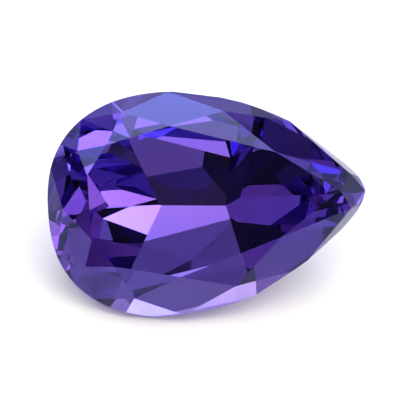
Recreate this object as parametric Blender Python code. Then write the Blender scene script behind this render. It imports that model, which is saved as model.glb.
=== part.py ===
"""A pear-cut tanzanite: one transparent stone, cut as flat facets all over.

The stone is first laid out with its girdle level, its tip at +X and its table up.
It is then turned to lie as a loose stone lies, on one long facet of its underside.
The near side is the one that the stone lies on, toward -Y, and the far side is toward +Y.
"""

import math

import bmesh
import bpy
from mathutils import Matrix, Vector

# Outline of the girdle, in metres
LENGTH = 0.0120
WIDTH = 0.00847
HEAD_POWER = 0.41
TIP_POWER = 0.69
OUTLINE_POINTS = 96

# Heights above and below the middle of the girdle
GIRDLE_THICKNESS = 0.00037
CROWN_HEIGHT = 0.00110
BLANK_DEPTH = 0.0060

# Mains of the crown: direction from the tip, in degrees, and how far the table's corner lies inside the edge
TIP_CROWN_MAIN = (0, 0.00104)
SIDE_CROWN_MAINS = ((60, 0.00138), (87, 0.00138), (127, 0.00138), (162.5, 0.00138))
# Share of the crown height at which neighbouring mains meet, where the star facets end
STAR_SHARE = 0.59

# Mains of the underside: direction from the tip and slope from the girdle plane, in degrees
TIP_MAIN = (0, 47.0)
FAR_MAINS = ((38.5, 45.0), (92.0, 41.75), (126.5, 40.5), (156.5, 46.0))
NEAR_MAINS = ((43.5, 44.5), (100.0, 40.75), (130.5, 39.5), (155.5, 47.0))
# Height under the girdle's lower edge at which neighbouring mains meet, where the girdle facets end
FAR_DROPS = (0.00200, 0.00170, 0.00195, 0.00160)
HEAD_DROP = 0.00115
NEAR_DROPS = (0.00135, 0.00170, 0.00150, 0.00185)

# The main that the stone lies on
RESTING_MAIN = NEAR_MAINS[1]

CUT_TOLERANCE = 1e-7
MERGE_DISTANCE = 1e-7

COLOUR = (0.27, 0.18, 0.62, 1.0)
ROUGHNESS = 0.02
REFRACTIVE_INDEX = 1.695


def pear_outline():
    """Points round the girdle, from the round end along the +Y side to the tip and back."""
    widest = HEAD_POWER / (HEAD_POWER + TIP_POWER)
    peak = widest ** HEAD_POWER * (1 - widest) ** TIP_POWER
    half = OUTLINE_POINTS // 2
    side = []
    for step in range(half + 1):
        along = 0.5 - 0.5 * math.cos(math.pi * step / half)
        across = along ** HEAD_POWER * (1 - along) ** TIP_POWER / peak * WIDTH / 2
        side.append(Vector((LENGTH * (along - 0.5), across)))
    other = [Vector((point.x, -point.y)) for point in reversed(side[1:-1])]
    return side + other


def heading(degrees):
    return Vector((math.cos(math.radians(degrees)), math.sin(math.radians(degrees))))


def farthest(outline, degrees):
    """The outline point that lies farthest out in one direction."""
    outward = heading(degrees)
    return max(outline, key=lambda point: point.dot(outward))


def round_the_stone(tip, far, near):
    """Mains in order round the stone, from the tip along the far side and back along the near side."""
    return [tip, *far, *[(360 - degrees, value) for degrees, value in reversed(near)]]


def leaning_plane(outline, degrees, slope, height, side):
    """A facet that touches the girdle edge at one height and leans in; side is 1 up, -1 down."""
    outward = heading(degrees)
    tilt = math.radians(slope)
    normal = Vector((outward.x * math.sin(tilt), outward.y * math.sin(tilt), side * math.cos(tilt)))
    point = farthest(outline, degrees)
    return Vector((point.x, point.y, height)), normal


def plane_through(first, second, third):
    """The plane of three points, facing away from the middle of the stone."""
    normal = (second - first).cross(third - first).normalized()
    return first, normal if normal.dot(first) > 0 else -normal


def meeting_point(first, second, height):
    """Where two planes meet at one height."""
    rows = Matrix((first[1], second[1], Vector((0, 0, 1))))
    distances = Vector((first[0].dot(first[1]), second[0].dot(second[1]), height))
    return rows.inverted() @ distances


def halfway(start, end):
    return start + ((end - start) % 360) / 2


def girdle_facets(outline, directions, mains, edge, levels):
    """Two facets between each pair of mains, from where the mains meet out to the girdle edge."""
    facets = []
    for number, main in enumerate(mains):
        following = (number + 1) % len(mains)
        inner = meeting_point(main, mains[following], levels[number])
        middle = farthest(outline, halfway(directions[number], directions[following]))
        outer = Vector((middle.x, middle.y, edge))
        facets.append(plane_through(inner, main[0], outer))
        facets.append(plane_through(inner, mains[following][0], outer))
    return facets


def crown_facets(outline):
    edge = GIRDLE_THICKNESS / 2
    tier = round_the_stone(TIP_CROWN_MAIN, SIDE_CROWN_MAINS, SIDE_CROWN_MAINS)
    directions = [degrees for degrees, _ in tier]
    mains = []
    corners = []
    for degrees, inset in tier:
        slope = math.degrees(math.atan2(CROWN_HEIGHT, inset))
        main = leaning_plane(outline, degrees, slope, edge, 1)
        outward = heading(degrees)
        mains.append(main)
        corners.append(main[0] + Vector((-outward.x * inset, -outward.y * inset, CROWN_HEIGHT)))
    level = edge + CROWN_HEIGHT * STAR_SHARE
    stars = []
    for number, main in enumerate(mains):
        following = (number + 1) % len(mains)
        inner = meeting_point(main, mains[following], level)
        stars.append(plane_through(corners[number], corners[following], inner))
    return mains + stars + girdle_facets(outline, directions, mains, edge, [level] * len(mains))


def underside_facets(outline):
    edge = -GIRDLE_THICKNESS / 2
    tier = round_the_stone(TIP_MAIN, FAR_MAINS, NEAR_MAINS)
    directions = [degrees for degrees, _ in tier]
    mains = [leaning_plane(outline, degrees, slope, edge, -1) for degrees, slope in tier]
    levels = [edge - drop for drop in (*FAR_DROPS, HEAD_DROP, *reversed(NEAR_DROPS))]
    return mains + girdle_facets(outline, directions, mains, edge, levels)


def pear_blank(outline):
    """A pear-shaped block as high as the stone's table, and deep enough for its underside."""
    mesh = bmesh.new()
    top = GIRDLE_THICKNESS / 2 + CROWN_HEIGHT
    base = mesh.faces.new([mesh.verts.new((point.x, point.y, -BLANK_DEPTH)) for point in outline])
    raised = bmesh.ops.extrude_face_region(mesh, geom=[base])["geom"]
    top_points = [item for item in raised if isinstance(item, bmesh.types.BMVert)]
    bmesh.ops.translate(mesh, verts=top_points, vec=(0, 0, top + BLANK_DEPTH))
    bmesh.ops.recalc_face_normals(mesh, faces=mesh.faces)
    return mesh


def cut(mesh, plane):
    """Take off what lies outside one facet's plane, and close the stone with that facet."""
    point, normal = plane
    geometry = [*mesh.verts, *mesh.edges, *mesh.faces]
    bmesh.ops.bisect_plane(
        mesh, geom=geometry, dist=CUT_TOLERANCE, plane_co=point, plane_no=normal, clear_outer=True
    )
    rim = [edge for edge in mesh.edges if edge.is_boundary]
    if rim:
        bmesh.ops.edgeloop_fill(mesh, edges=rim)


def resting_turn(outline):
    """The turn that lays the stone on its resting facet."""
    degrees, slope = RESTING_MAIN
    _, normal = leaning_plane(outline, -degrees, slope, 0, -1)
    down = Vector((0, 0, -1))
    return Matrix.Rotation(normal.angle(down), 4, normal.cross(down))


def middle_and_bottom(mesh):
    """The point under the middle of the stone's outer box, at its lowest height."""
    across = [vertex.co.x for vertex in mesh.verts]
    along = [vertex.co.y for vertex in mesh.verts]
    heights = [vertex.co.z for vertex in mesh.verts]
    return Vector(((min(across) + max(across)) / 2, (min(along) + max(along)) / 2, min(heights)))


def cut_stone():
    outline = pear_outline()
    mesh = pear_blank(outline)
    for plane in crown_facets(outline) + underside_facets(outline):
        cut(mesh, plane)
    bmesh.ops.remove_doubles(mesh, verts=mesh.verts, dist=MERGE_DISTANCE)
    bmesh.ops.transform(mesh, matrix=resting_turn(outline), verts=mesh.verts)
    bmesh.ops.translate(mesh, verts=mesh.verts, vec=-middle_and_bottom(mesh))
    bmesh.ops.recalc_face_normals(mesh, faces=mesh.faces)
    return mesh


def tanzanite():
    material = bpy.data.materials.new("tanzanite")
    material.use_nodes = True
    surface = material.node_tree.nodes["Principled BSDF"]
    surface.inputs["Base Color"].default_value = COLOUR
    surface.inputs["Roughness"].default_value = ROUGHNESS
    surface.inputs["Metallic"].default_value = 0.0
    surface.inputs["Transmission Weight"].default_value = 1.0
    surface.inputs["IOR"].default_value = REFRACTIVE_INDEX
    material.diffuse_color = COLOUR
    return material


def main():
    for item in list(bpy.data.objects):
        bpy.data.objects.remove(item, do_unlink=True)
    collection = bpy.data.collections.new("pear_cut_tanzanite")
    bpy.context.scene.collection.children.link(collection)
    data = bpy.data.meshes.new("tanzanite_gem")
    mesh = cut_stone()
    mesh.to_mesh(data)
    mesh.free()
    data.materials.append(tanzanite())
    gem = bpy.data.objects.new("tanzanite_gem", data)
    collection.objects.link(gem)


main()
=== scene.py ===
"""A cut pear-shaped tanzanite lying on white paper under soft studio lights."""

import math

import bpy
from mathutils import Matrix, Vector


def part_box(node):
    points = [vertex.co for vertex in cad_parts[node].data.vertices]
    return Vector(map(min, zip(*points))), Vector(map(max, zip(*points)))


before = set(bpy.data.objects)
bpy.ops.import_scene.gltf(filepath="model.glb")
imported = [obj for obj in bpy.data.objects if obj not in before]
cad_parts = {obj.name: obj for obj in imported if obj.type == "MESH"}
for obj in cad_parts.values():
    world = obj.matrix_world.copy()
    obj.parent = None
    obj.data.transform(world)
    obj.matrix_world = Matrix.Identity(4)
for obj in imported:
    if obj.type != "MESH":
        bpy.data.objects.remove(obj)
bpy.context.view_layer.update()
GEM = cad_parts["tanzanite_gem"]

# Camera: heading 0 looks along +Y and 90 along -X, angles in degrees, lengths in metres
CAMERA_HEADING = -13.25
CAMERA_ELEVATION = 45.45
CAMERA_ROLL = -8.45
CAMERA_LENS = 600.0
SENSOR_WIDTH = 36.0
FRAME_WIDTH = 0.015095
AIM_RIGHT = -0.000233
AIM_UP = 0.000092
NEAREST_SEEN = 0.001
FARTHEST_SEEN = 10.0

# Optics of tanzanite: absorption of red, green and blue, and a density above all three for the volume
REFRACTIVE_INDEX = 1.695
ABSORPTION_PER_METRE = (166.0, 236.0, 82.0)
VOLUME_DENSITY = 286.0
REFLECTION_TINT = (0.42, 0.46, 1.0, 1.0)

# Faint polish marks: their size as a noise scale, which part of the noise shows, and their roughness
POLISH_SCALE = 900.0
POLISH_DETAIL = 3.0
POLISH_FROM = 0.45
POLISH_TO = 0.75
POLISH_ROUGHNESS = 0.008

# The stone's own axis, square to its table. The girdle's facets face across it, and are frosted
STONE_AXIS = (-0.1134, -0.6428, 0.7576)
GIRDLE_FACING = 0.06
POLISHED_FACING = 0.12
GIRDLE_ROUGHNESS = 0.35

# The stone's two colours: across it, how far up that line the blue starts and is full, and the tints
ACROSS = (-0.04, 0.765, 0.643)
BLUE_START = 0.0012
BLUE_FULL = 0.0052
FAR_BLUE = (0.40, 0.62, 1.0, 1.0)
NEAR_VIOLET = (0.80, 0.76, 0.82, 1.0)

# Studio: a white tent, with soft boxes and matt cards round the stone, in degrees seen from the stone.
# Their headings turn from straight behind the stone, 0, to its right, 90
TENT_BRIGHTNESS = 1.2
TENT_COLOUR = (0.86, 0.88, 1.0, 1.0)
LIGHT_DISTANCE = 0.5
SOFTBOXES = (
    # name, heading, elevation, width, height, brightness, colour
    ("overhead_box", 0, 90, 52, 52, 2.2, (0.95, 1.0, 0.72)),
    ("back_high_box", 0, 52, 28, 24, 4.6, (0.5, 0.68, 1.0)),
    ("right_high_box", 90, 52, 28, 24, 2.0, (0.95, 1.0, 0.85)),
    ("right_box", 75, 29, 52, 22, 3.2, (1.0, 1.0, 0.85)),
    ("left_high_box", 247, 52, 55, 24, 1.8, (0.9, 0.92, 1.0)),
    ("front_left_box", 210, 29, 26, 22, 3.4, (1.0, 0.98, 1.0)),
    ("left_back_strip", 341, 15, 9, 8, 26.0, (0.72, 1.0, 0.95)),
    ("right_strip", 106, 31, 6, 8, 6.0, (0.78, 1.0, 0.9)),
)
FLAG_DISTANCE = 0.45
BLACK = 0.02
DARK = 0.12
GREY = 0.60
FLAGS = (
    # name, heading, elevation, width, height, shade
    ("right_flag", 97, 9, 45, 18, BLACK),
    ("front_right_flag", 142, 9, 46, 18, DARK),
    ("front_right_high_flag", 150, 29, 26, 22, DARK),
    ("left_flag", 255, 20, 58, 40, BLACK),
    ("front_left_flag", 210, 9, 30, 18, BLACK),
    ("camera_side_card", 157, 52, 55, 24, GREY),
    ("front_card", 180, 29, 26, 22, GREY),
    ("right_front_card", 120, 29, 26, 22, GREY),
    ("back_right_flag", 32, 44, 20, 16, BLACK),
    ("left_back_flag", 299, 38, 16, 12, BLACK),
)
# The dark lens behind the camera: half its angle, its distance and its corners
LENS_CARD_ANGLE = 10
LENS_CARD_DISTANCE = 0.405
LENS_CARD_CORNERS = 48

# Paper: its size, the gap that keeps it off the stone's facet, two close tones, clouds and fibres
FLOOR_SIZE = 1.6
FLOOR_GAP = 0.00001
PAPER_ROUGHNESS = 0.9
PAPER_DARK = (0.67, 0.63, 0.64, 1.0)
PAPER_LIGHT = (0.72, 0.68, 0.69, 1.0)
PAPER_CLOUD_SCALE = 120.0
PAPER_GRAIN_SCALE = 2500.0
PAPER_GRAIN_DETAIL = 4.0
PAPER_GRAIN_STRENGTH = 0.15
PAPER_GRAIN_DEPTH = 0.00005

# Light paths through the stone, and the brightest that one indirect path may be
STONE_BOUNCES = 24
MIRROR_BOUNCES = 12
PAPER_BOUNCES = 3
BRIGHTEST_PATH = 3.0


def direction(heading, elevation):
    """Unit vector from the stone; heading 0 is toward -Y and 90 toward +X."""
    turn, rise = math.radians(heading), math.radians(elevation)
    return Vector((math.sin(turn) * math.cos(rise), -math.cos(turn) * math.cos(rise), math.sin(rise)))


def studio_direction(heading, elevation):
    """Unit vector from the stone toward a light or card; heading 0 is straight behind the stone."""
    return direction(CAMERA_HEADING + 180 - heading, elevation)


def side_length(angle, distance):
    """Length that looks so many degrees across from the stone."""
    return 2 * distance * math.tan(math.radians(angle / 2))


def add_node(tree, kind, **settings):
    node = tree.nodes.new(kind)
    for name, value in settings.items():
        setattr(node, name, value)
    return node


def tanzanite_material():
    material = bpy.data.materials.new("tanzanite")
    material.use_nodes = True
    tree = material.node_tree
    tree.nodes.clear()
    output = add_node(tree, "ShaderNodeOutputMaterial")
    surface = add_node(tree, "ShaderNodeBsdfPrincipled")
    volume = add_node(tree, "ShaderNodeVolumeAbsorption")
    tree.links.new(surface.outputs["BSDF"], output.inputs["Surface"])
    tree.links.new(volume.outputs["Volume"], output.inputs["Volume"])
    surface.inputs["Transmission Weight"].default_value = 1.0
    surface.inputs["IOR"].default_value = REFRACTIVE_INDEX
    surface.inputs["Specular Tint"].default_value = REFLECTION_TINT
    kept = [1 - value / VOLUME_DENSITY for value in ABSORPTION_PER_METRE]
    volume.inputs["Color"].default_value = (*kept, 1)
    volume.inputs["Density"].default_value = VOLUME_DENSITY

    place = add_node(tree, "ShaderNodeTexCoord")
    across = add_node(tree, "ShaderNodeVectorMath", operation="DOT_PRODUCT")
    across.inputs[1].default_value = ACROSS
    blend = add_node(tree, "ShaderNodeMapRange", interpolation_type="SMOOTHSTEP")
    blend.inputs["From Min"].default_value = BLUE_START
    blend.inputs["From Max"].default_value = BLUE_FULL
    tint = add_node(tree, "ShaderNodeMix", data_type="RGBA")
    tint.inputs["A"].default_value = NEAR_VIOLET
    tint.inputs["B"].default_value = FAR_BLUE
    tree.links.new(place.outputs["Object"], across.inputs[0])
    tree.links.new(across.outputs["Value"], blend.inputs["Value"])
    tree.links.new(blend.outputs["Result"], tint.inputs["Factor"])
    tree.links.new(tint.outputs["Result"], surface.inputs["Base Color"])

    shape = add_node(tree, "ShaderNodeNewGeometry")
    upright = add_node(tree, "ShaderNodeVectorMath", operation="DOT_PRODUCT")
    upright.inputs[1].default_value = STONE_AXIS
    size = add_node(tree, "ShaderNodeMath", operation="ABSOLUTE")
    girdle = add_node(tree, "ShaderNodeMapRange")
    girdle.inputs["From Min"].default_value = GIRDLE_FACING
    girdle.inputs["From Max"].default_value = POLISHED_FACING
    girdle.inputs["To Min"].default_value = GIRDLE_ROUGHNESS
    girdle.inputs["To Max"].default_value = 0.0
    wear = add_node(tree, "ShaderNodeTexNoise")
    wear.inputs["Scale"].default_value = POLISH_SCALE
    wear.inputs["Detail"].default_value = POLISH_DETAIL
    polish = add_node(tree, "ShaderNodeMapRange")
    polish.inputs["From Min"].default_value = POLISH_FROM
    polish.inputs["From Max"].default_value = POLISH_TO
    polish.inputs["To Min"].default_value = 0.0
    polish.inputs["To Max"].default_value = POLISH_ROUGHNESS
    total = add_node(tree, "ShaderNodeMath", operation="ADD")
    tree.links.new(shape.outputs["True Normal"], upright.inputs[0])
    tree.links.new(upright.outputs["Value"], size.inputs[0])
    tree.links.new(size.outputs["Value"], girdle.inputs["Value"])
    tree.links.new(place.outputs["Object"], wear.inputs["Vector"])
    tree.links.new(wear.outputs["Fac"], polish.inputs["Value"])
    tree.links.new(girdle.outputs["Result"], total.inputs[0])
    tree.links.new(polish.outputs["Result"], total.inputs[1])
    tree.links.new(total.outputs["Value"], surface.inputs["Roughness"])
    return material


def paper_material():
    """White paper with a faint cloudy tone and a fine grain of fibres."""
    material = bpy.data.materials.new("white_paper")
    material.use_nodes = True
    tree = material.node_tree
    surface = tree.nodes["Principled BSDF"]
    surface.inputs["Roughness"].default_value = PAPER_ROUGHNESS
    place = add_node(tree, "ShaderNodeTexCoord")
    clouds = add_node(tree, "ShaderNodeTexNoise")
    clouds.inputs["Scale"].default_value = PAPER_CLOUD_SCALE
    tone = add_node(tree, "ShaderNodeMix", data_type="RGBA")
    tone.inputs["A"].default_value = PAPER_DARK
    tone.inputs["B"].default_value = PAPER_LIGHT
    fibres = add_node(tree, "ShaderNodeTexNoise")
    fibres.inputs["Scale"].default_value = PAPER_GRAIN_SCALE
    fibres.inputs["Detail"].default_value = PAPER_GRAIN_DETAIL
    grain = add_node(tree, "ShaderNodeBump")
    grain.inputs["Strength"].default_value = PAPER_GRAIN_STRENGTH
    grain.inputs["Distance"].default_value = PAPER_GRAIN_DEPTH
    tree.links.new(place.outputs["Object"], clouds.inputs["Vector"])
    tree.links.new(place.outputs["Object"], fibres.inputs["Vector"])
    tree.links.new(clouds.outputs["Fac"], tone.inputs["Factor"])
    tree.links.new(tone.outputs["Result"], surface.inputs["Base Color"])
    tree.links.new(fibres.outputs["Fac"], grain.inputs["Height"])
    tree.links.new(grain.outputs["Normal"], surface.inputs["Normal"])
    return material


def add_floor():
    bpy.ops.mesh.primitive_plane_add(size=FLOOR_SIZE, location=(0, 0, -FLOOR_GAP))
    floor = bpy.context.object
    floor.name = "white_paper_floor"
    floor.data.materials.append(paper_material())


def stone_centre():
    low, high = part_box("tanzanite_gem")
    return (Vector(low) + Vector(high)) / 2


def add_camera():
    data = bpy.data.cameras.new("photo_camera")
    camera = bpy.data.objects.new("photo_camera", data)
    bpy.context.collection.objects.link(camera)
    data.lens = CAMERA_LENS
    data.sensor_width = SENSOR_WIDTH
    data.clip_start = NEAREST_SEEN
    data.clip_end = FARTHEST_SEEN
    back = direction(CAMERA_HEADING, CAMERA_ELEVATION)
    distance = FRAME_WIDTH * CAMERA_LENS / SENSOR_WIDTH
    roll = Matrix.Rotation(math.radians(-CAMERA_ROLL), 3, "Z")
    turned = (-back).to_track_quat("-Z", "Y").to_matrix() @ roll
    aim = stone_centre() + turned @ Vector((AIM_RIGHT, AIM_UP, 0))
    camera.matrix_world = Matrix.Translation(aim + back * distance) @ turned.to_4x4()
    bpy.context.scene.camera = camera


def add_softbox(name, heading, elevation, width, height, brightness, colour):
    """A rectangular light that looks width by height degrees across from the stone."""
    toward = studio_direction(heading, elevation)
    data = bpy.data.lights.new(name, "AREA")
    data.shape = "RECTANGLE"
    data.size = side_length(width, LIGHT_DISTANCE)
    data.size_y = side_length(height, LIGHT_DISTANCE)
    data.energy = brightness * math.pi * data.size * data.size_y
    data.color = colour
    light = bpy.data.objects.new(name, data)
    bpy.context.collection.objects.link(light)
    light.location = stone_centre() + toward * LIGHT_DISTANCE
    light.rotation_mode = "QUATERNION"
    light.rotation_quaternion = (-toward).to_track_quat("-Z", "Y")
    light.visible_camera = False


def add_flag(name, heading, elevation, width, height, shade):
    """A matt card that hides a part of the tent from the stone; the camera looks past it."""
    toward = studio_direction(heading, elevation)
    bpy.ops.mesh.primitive_plane_add(size=1)
    card = bpy.context.object
    card.name = name
    card.scale = (side_length(width, FLAG_DISTANCE), side_length(height, FLAG_DISTANCE), 1)
    card.rotation_mode = "QUATERNION"
    card.rotation_quaternion = (-toward).to_track_quat("Z", "Y")
    set_up_card(card, toward * FLAG_DISTANCE, shade)


def set_up_card(card, place, shade):
    """Put a matt card of one shade at its place from the stone, where the camera doesn't show it."""
    card.location = stone_centre() + place
    card.visible_camera = False
    card.data.materials.append(card_material(card.name, shade))


def card_material(name, shade):
    material = bpy.data.materials.new(name)
    material.use_nodes = True
    surface = material.node_tree.nodes["Principled BSDF"]
    surface.inputs["Base Color"].default_value = (shade, shade, shade, 1)
    surface.inputs["Roughness"].default_value = 1.0
    return material


def add_lens_card():
    """The dark lens and photographer behind the camera, which the facets reflect."""
    back = direction(CAMERA_HEADING, CAMERA_ELEVATION)
    radius = LENS_CARD_DISTANCE * math.tan(math.radians(LENS_CARD_ANGLE))
    bpy.ops.mesh.primitive_circle_add(vertices=LENS_CARD_CORNERS, radius=radius, fill_type="NGON")
    card = bpy.context.object
    card.name = "dark_card"
    card.rotation_mode = "QUATERNION"
    card.rotation_quaternion = back.to_track_quat("Z", "Y")
    set_up_card(card, back * LENS_CARD_DISTANCE, BLACK)


def add_world():
    world = bpy.data.worlds.new("soft_tent")
    bpy.context.scene.world = world
    world.use_nodes = True
    background = world.node_tree.nodes["Background"]
    background.inputs["Color"].default_value = TENT_COLOUR
    background.inputs["Strength"].default_value = TENT_BRIGHTNESS


def dress_stone():
    material = tanzanite_material()
    for slot in GEM.material_slots:
        slot.material = material


def set_picture():
    scene = bpy.context.scene
    scene.view_settings.view_transform = "Standard"
    scene.view_settings.look = "None"
    scene.cycles.max_bounces = STONE_BOUNCES
    scene.cycles.transmission_bounces = STONE_BOUNCES
    scene.cycles.glossy_bounces = MIRROR_BOUNCES
    scene.cycles.diffuse_bounces = PAPER_BOUNCES
    scene.cycles.sample_clamp_indirect = BRIGHTEST_PATH


add_floor()
dress_stone()
add_camera()
add_world()
for softbox in SOFTBOXES:
    add_softbox(*softbox)
for flag in FLAGS:
    add_flag(*flag)
add_lens_card()
set_picture()
